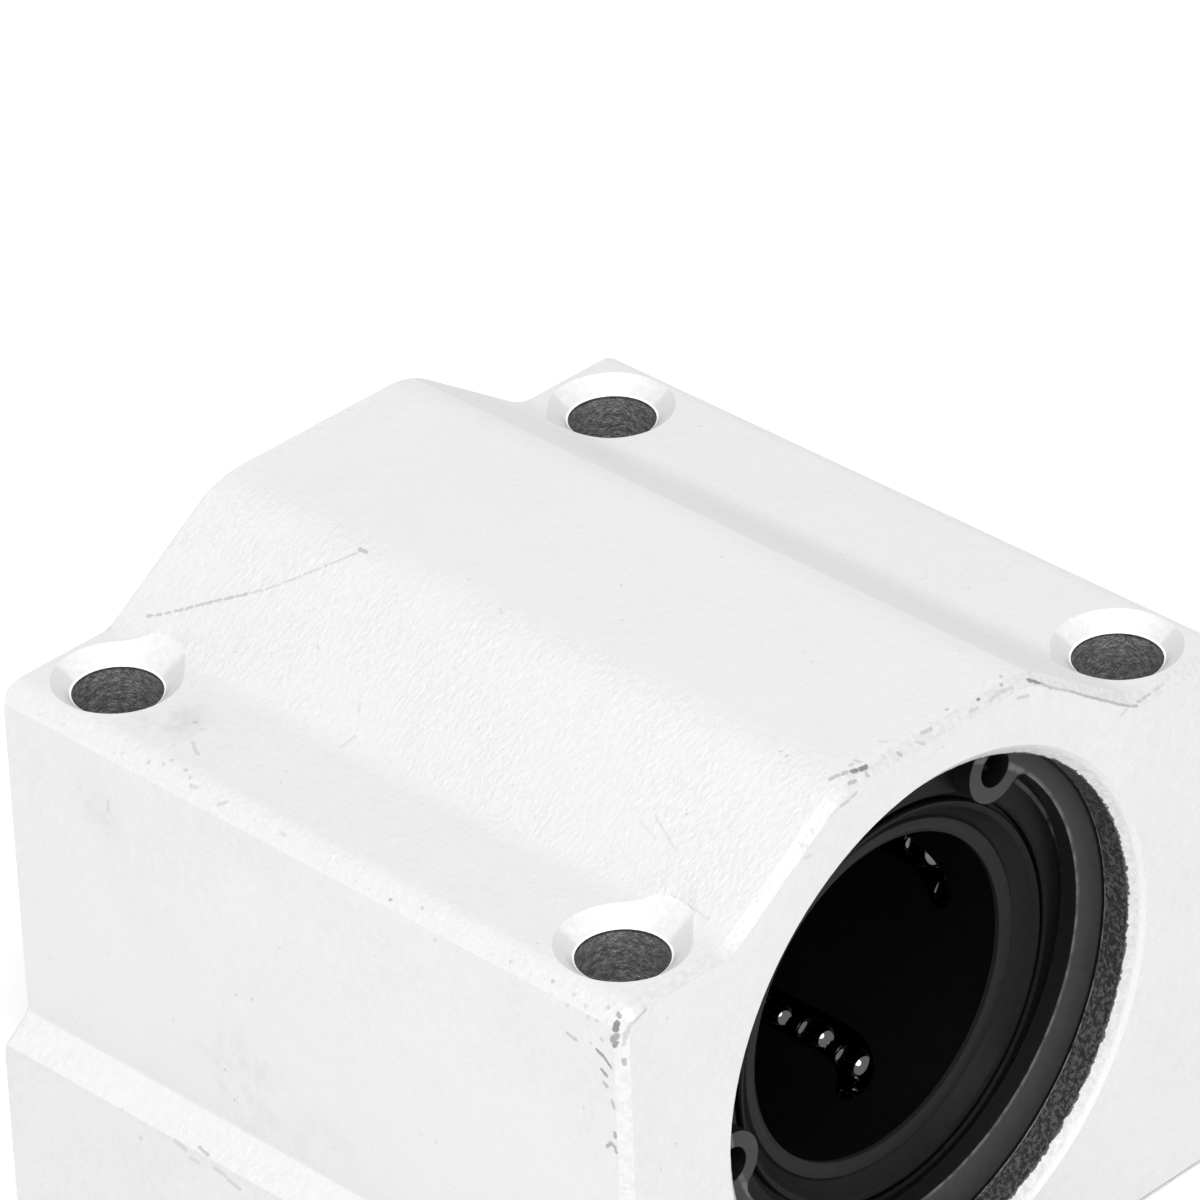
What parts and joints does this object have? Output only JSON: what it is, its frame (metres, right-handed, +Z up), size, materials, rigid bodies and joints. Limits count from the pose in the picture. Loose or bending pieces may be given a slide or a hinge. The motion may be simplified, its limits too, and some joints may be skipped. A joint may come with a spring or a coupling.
{
  "type": "linear bearing block",
  "caption": "Closed linear bearing block: flanged aluminium housing with a ball bushing held in its bore by internal retaining rings, and a screw hole at each corner.",
  "frame": {"origin": "bottom centre of the bounding box, on the mounting face", "axes": "+Y along the bore axis with the front face towards -Y, +X across the block, +Z up from the mounting face"},
  "size_m": [0.054, 0.0494, 0.041],
  "materials": {
    "housing": "fine bead-blasted, pale silver anodised",
    "ring_steel": "dark oiled spring steel",
    "sleeve_steel": "ground bearing steel",
    "stop_steel": "dull grey steel",
    "retainer_plastic": "moulded black resin",
    "seal_rubber": "smooth black rubber",
    "ball_steel": "polished bearing balls"
  },
  "bodies": {
    "block": {"housing": "housing", "front_retaining_ring": "ring_steel", "rear_retaining_ring": "ring_steel", "bearing_sleeve": "sleeve_steel", "ball_retainer": "retainer_plastic", "front_stop_ring": "stop_steel", "rear_stop_ring": "stop_steel", "front_seal": "seal_rubber", "rear_seal": "seal_rubber"},
    "circuit1_loaded_balls": {"circuit1_loaded_balls": "ball_steel"},
    "circuit1_return_balls": {"circuit1_return_balls": "ball_steel"},
    "circuit1_front_turn_balls": {"circuit1_front_turn_balls": "ball_steel"},
    "circuit1_rear_turn_balls": {"circuit1_rear_turn_balls": "ball_steel"},
    "circuit2_loaded_balls": {"circuit2_loaded_balls": "ball_steel"},
    "circuit2_return_balls": {"circuit2_return_balls": "ball_steel"},
    "circuit2_front_turn_balls": {"circuit2_front_turn_balls": "ball_steel"},
    "circuit2_rear_turn_balls": {"circuit2_rear_turn_balls": "ball_steel"},
    "circuit3_loaded_balls": {"circuit3_loaded_balls": "ball_steel"},
    "circuit3_return_balls": {"circuit3_return_balls": "ball_steel"},
    "circuit3_front_turn_balls": {"circuit3_front_turn_balls": "ball_steel"},
    "circuit3_rear_turn_balls": {"circuit3_rear_turn_balls": "ball_steel"},
    "circuit4_loaded_balls": {"circuit4_loaded_balls": "ball_steel"},
    "circuit4_return_balls": {"circuit4_return_balls": "ball_steel"},
    "circuit4_front_turn_balls": {"circuit4_front_turn_balls": "ball_steel"},
    "circuit4_rear_turn_balls": {"circuit4_rear_turn_balls": "ball_steel"},
    "circuit5_loaded_balls": {"circuit5_loaded_balls": "ball_steel"},
    "circuit5_return_balls": {"circuit5_return_balls": "ball_steel"},
    "circuit5_front_turn_balls": {"circuit5_front_turn_balls": "ball_steel"},
    "circuit5_rear_turn_balls": {"circuit5_rear_turn_balls": "ball_steel"}
  },
  "joints": [
    {"name": "circuit1_loaded_travel", "type": "slide", "parent": "block", "child": "circuit1_loaded_balls", "axis": [0, 1, 0], "range_m": [-0.00167, 0.00167]},
    {"name": "circuit1_return_travel", "type": "slide", "parent": "block", "child": "circuit1_return_balls", "axis": [0, 1, 0], "range_m": [-0.00167, 0.00167]},
    {"name": "circuit1_front_turn", "type": "hinge", "parent": "block", "child": "circuit1_front_turn_balls", "pos_m": [0.01197, -0.01169, 0.01987], "axis": [-0.9848, 0, -0.1736], "range_deg": [-30.01, 30.01]},
    {"name": "circuit1_rear_turn", "type": "hinge", "parent": "block", "child": "circuit1_rear_turn_balls", "pos_m": [0.01197, 0.01169, 0.01987], "axis": [-0.9848, 0, -0.1736], "range_deg": [-30.01, 30.01]},
    {"name": "circuit2_loaded_travel", "type": "slide", "parent": "block", "child": "circuit2_loaded_balls", "axis": [0, 1, 0], "range_m": [-0.00167, 0.00167]},
    {"name": "circuit2_return_travel", "type": "slide", "parent": "block", "child": "circuit2_return_balls", "axis": [0, 1, 0], "range_m": [-0.00167, 0.00167]},
    {"name": "circuit2_front_turn", "type": "hinge", "parent": "block", "child": "circuit2_front_turn_balls", "pos_m": [0.00477, -0.01169, 0.03203], "axis": [-0.1392, 0, -0.9903], "range_deg": [-30.01, 30.01]},
    {"name": "circuit2_rear_turn", "type": "hinge", "parent": "block", "child": "circuit2_rear_turn_balls", "pos_m": [0.00477, 0.01169, 0.03203], "axis": [-0.1392, 0, -0.9903], "range_deg": [-30.01, 30.01]},
    {"name": "circuit3_loaded_travel", "type": "slide", "parent": "block", "child": "circuit3_loaded_balls", "axis": [0, 1, 0], "range_m": [-0.00167, 0.00167]},
    {"name": "circuit3_return_travel", "type": "slide", "parent": "block", "child": "circuit3_return_balls", "axis": [0, 1, 0], "range_m": [-0.00167, 0.00167]},
    {"name": "circuit3_front_turn", "type": "hinge", "parent": "block", "child": "circuit3_front_turn_balls", "pos_m": [-0.00902, -0.01169, 0.02895], "axis": [0.8988, 0, -0.4384], "range_deg": [-30.01, 30.01]},
    {"name": "circuit3_rear_turn", "type": "hinge", "parent": "block", "child": "circuit3_rear_turn_balls", "pos_m": [-0.00902, 0.01169, 0.02895], "axis": [0.8988, 0, -0.4384], "range_deg": [-30.01, 30.01]},
    {"name": "circuit4_loaded_travel", "type": "slide", "parent": "block", "child": "circuit4_loaded_balls", "axis": [0, 1, 0], "range_m": [-0.00167, 0.00167]},
    {"name": "circuit4_return_travel", "type": "slide", "parent": "block", "child": "circuit4_return_balls", "axis": [0, 1, 0], "range_m": [-0.00167, 0.00167]},
    {"name": "circuit4_front_turn", "type": "hinge", "parent": "block", "child": "circuit4_front_turn_balls", "pos_m": [-0.01034, -0.01169, 0.01488], "axis": [0.6947, 0, 0.7193], "range_deg": [-30.01, 30.01]},
    {"name": "circuit4_rear_turn", "type": "hinge", "parent": "block", "child": "circuit4_rear_turn_balls", "pos_m": [-0.01034, 0.01169, 0.01488], "axis": [0.6947, 0, 0.7193], "range_deg": [-30.01, 30.01]},
    {"name": "circuit5_loaded_travel", "type": "slide", "parent": "block", "child": "circuit5_loaded_balls", "axis": [0, 1, 0], "range_m": [-0.00167, 0.00167]},
    {"name": "circuit5_return_travel", "type": "slide", "parent": "block", "child": "circuit5_return_balls", "axis": [0, 1, 0], "range_m": [-0.00167, 0.00167]},
    {"name": "circuit5_front_turn", "type": "hinge", "parent": "block", "child": "circuit5_front_turn_balls", "pos_m": [0.00262, -0.01169, 0.00927], "axis": [-0.4695, 0, 0.8829], "range_deg": [-30.01, 30.01]},
    {"name": "circuit5_rear_turn", "type": "hinge", "parent": "block", "child": "circuit5_rear_turn_balls", "pos_m": [0.00262, 0.01169, 0.00927], "axis": [-0.4695, 0, 0.8829], "range_deg": [-30.01, 30.01]}
  ],
  "couplings": [
    {"joint": "circuit1_return_travel", "follows": "circuit1_loaded_travel", "ratio": -1},
    {"joint": "circuit1_front_turn", "follows": "circuit1_loaded_travel", "rad_per_m": 313.53},
    {"joint": "circuit1_rear_turn", "follows": "circuit1_loaded_travel", "rad_per_m": 313.53},
    {"joint": "circuit2_return_travel", "follows": "circuit2_loaded_travel", "ratio": -1},
    {"joint": "circuit2_front_turn", "follows": "circuit2_loaded_travel", "rad_per_m": 313.53},
    {"joint": "circuit2_rear_turn", "follows": "circuit2_loaded_travel", "rad_per_m": 313.53},
    {"joint": "circuit3_return_travel", "follows": "circuit3_loaded_travel", "ratio": -1},
    {"joint": "circuit3_front_turn", "follows": "circuit3_loaded_travel", "rad_per_m": 313.53},
    {"joint": "circuit3_rear_turn", "follows": "circuit3_loaded_travel", "rad_per_m": 313.53},
    {"joint": "circuit4_return_travel", "follows": "circuit4_loaded_travel", "ratio": -1},
    {"joint": "circuit4_front_turn", "follows": "circuit4_loaded_travel", "rad_per_m": 313.53},
    {"joint": "circuit4_rear_turn", "follows": "circuit4_loaded_travel", "rad_per_m": 313.53},
    {"joint": "circuit5_return_travel", "follows": "circuit5_loaded_travel", "ratio": -1},
    {"joint": "circuit5_front_turn", "follows": "circuit5_loaded_travel", "rad_per_m": 313.53},
    {"joint": "circuit5_rear_turn", "follows": "circuit5_loaded_travel", "rad_per_m": 313.53}
  ]
}
